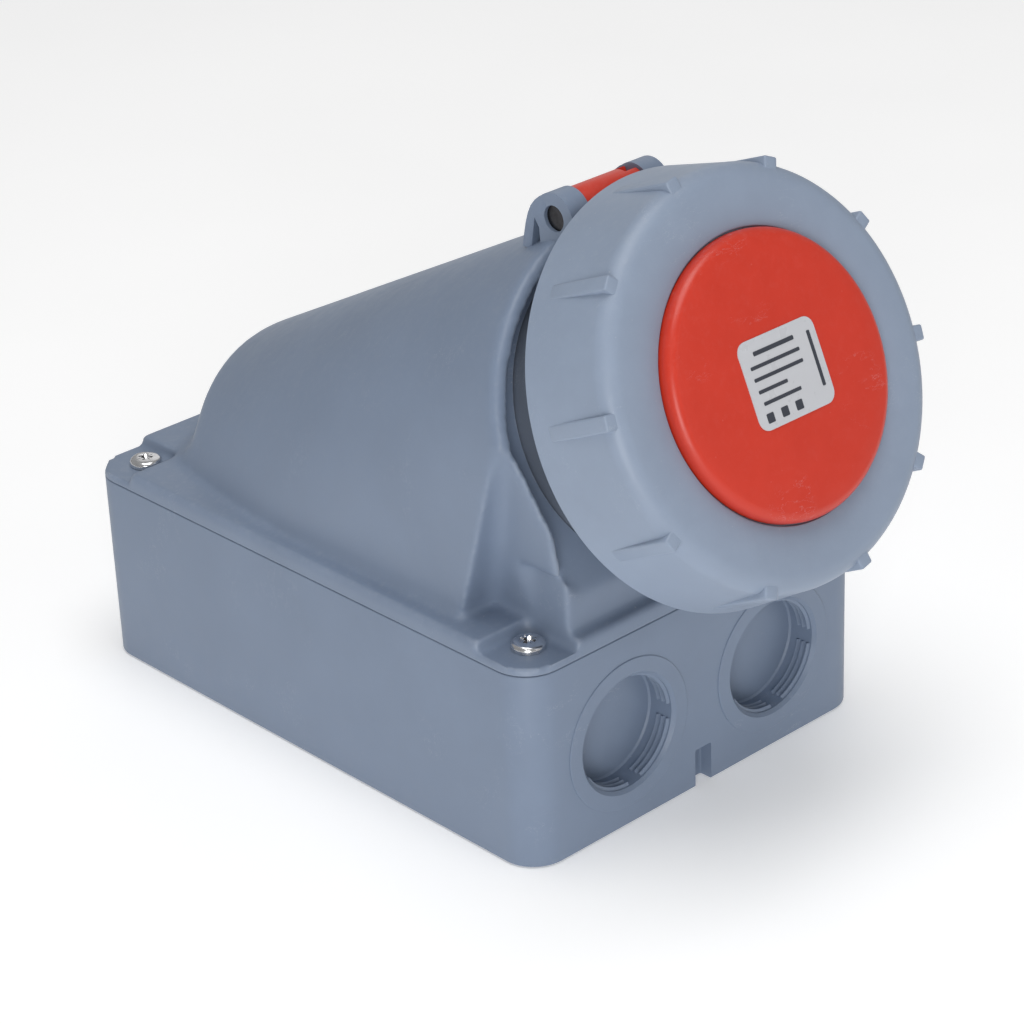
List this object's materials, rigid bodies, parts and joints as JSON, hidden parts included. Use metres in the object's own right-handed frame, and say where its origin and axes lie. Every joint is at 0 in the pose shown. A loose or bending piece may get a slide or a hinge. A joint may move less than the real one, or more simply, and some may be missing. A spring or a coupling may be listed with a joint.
{
  "type": "industrial wall socket",
  "caption": "Grey industrial wall socket with an inclined round mouth, a red hinged lid in a ribbed locking ring, and blind threaded cable entries.",
  "frame": {"origin": "centre of the wall (back) face", "axes": "+Z out of the wall, towards the mouth's side, -Y towards the cable entries, X across the width"},
  "size_m": [0.1232, 0.2225, 0.1723],
  "materials": {
    "housing_plastic": "satin",
    "barrel_plastic": "satin",
    "insulator": "matte",
    "lid_plastic": "gloss",
    "rubber": "matte",
    "brass": "satin",
    "screw_steel": "satin",
    "pin_steel": "satin",
    "label": "satin"
  },
  "bodies": {
    "housing": {"rear_box": "housing_plastic", "cover_seal": "rubber", "front_cover": "housing_plastic", "cover_screw_1": "screw_steel", "cover_screw_2": "screw_steel", "cover_screw_3": "screw_steel", "cover_screw_4": "screw_steel", "socket_barrel": "barrel_plastic", "barrel_seal": "rubber", "barrel_screw_1": "screw_steel", "barrel_screw_2": "screw_steel", "barrel_screw_3": "screw_steel", "barrel_screw_4": "screw_steel", "contact_carrier": "insulator", "contact_cap": "insulator", "contact_l1": "brass", "contact_l2": "brass", "contact_l3": "brass", "contact_earth": "brass", "contact_pilot": "brass", "terminal_screw_l1": "screw_steel", "terminal_screw_l2": "screw_steel", "terminal_screw_l3": "screw_steel", "terminal_screw_earth": "screw_steel", "terminal_screw_pilot": "screw_steel", "hinge_pin": "pin_steel"},
    "lid": {"lid_disc": "lid_plastic", "lid_frame": "lid_plastic", "lid_seal": "rubber", "rating_label": "label"},
    "ring": {"locking_ring": "housing_plastic"}
  },
  "joints": [
    {"name": "lid_hinge", "type": "hinge", "parent": "housing", "child": "lid", "pos_m": [0, -0.05662, 0.155], "axis": [-1, 0, 0], "range_deg": [0, 110]},
    {"name": "ring_turn", "type": "hinge", "parent": "lid", "child": "ring", "pos_m": [0, -0.11437, 0.12495], "axis": [0, 0.9124, -0.4093], "range_deg": [0, 40]}
  ]
}
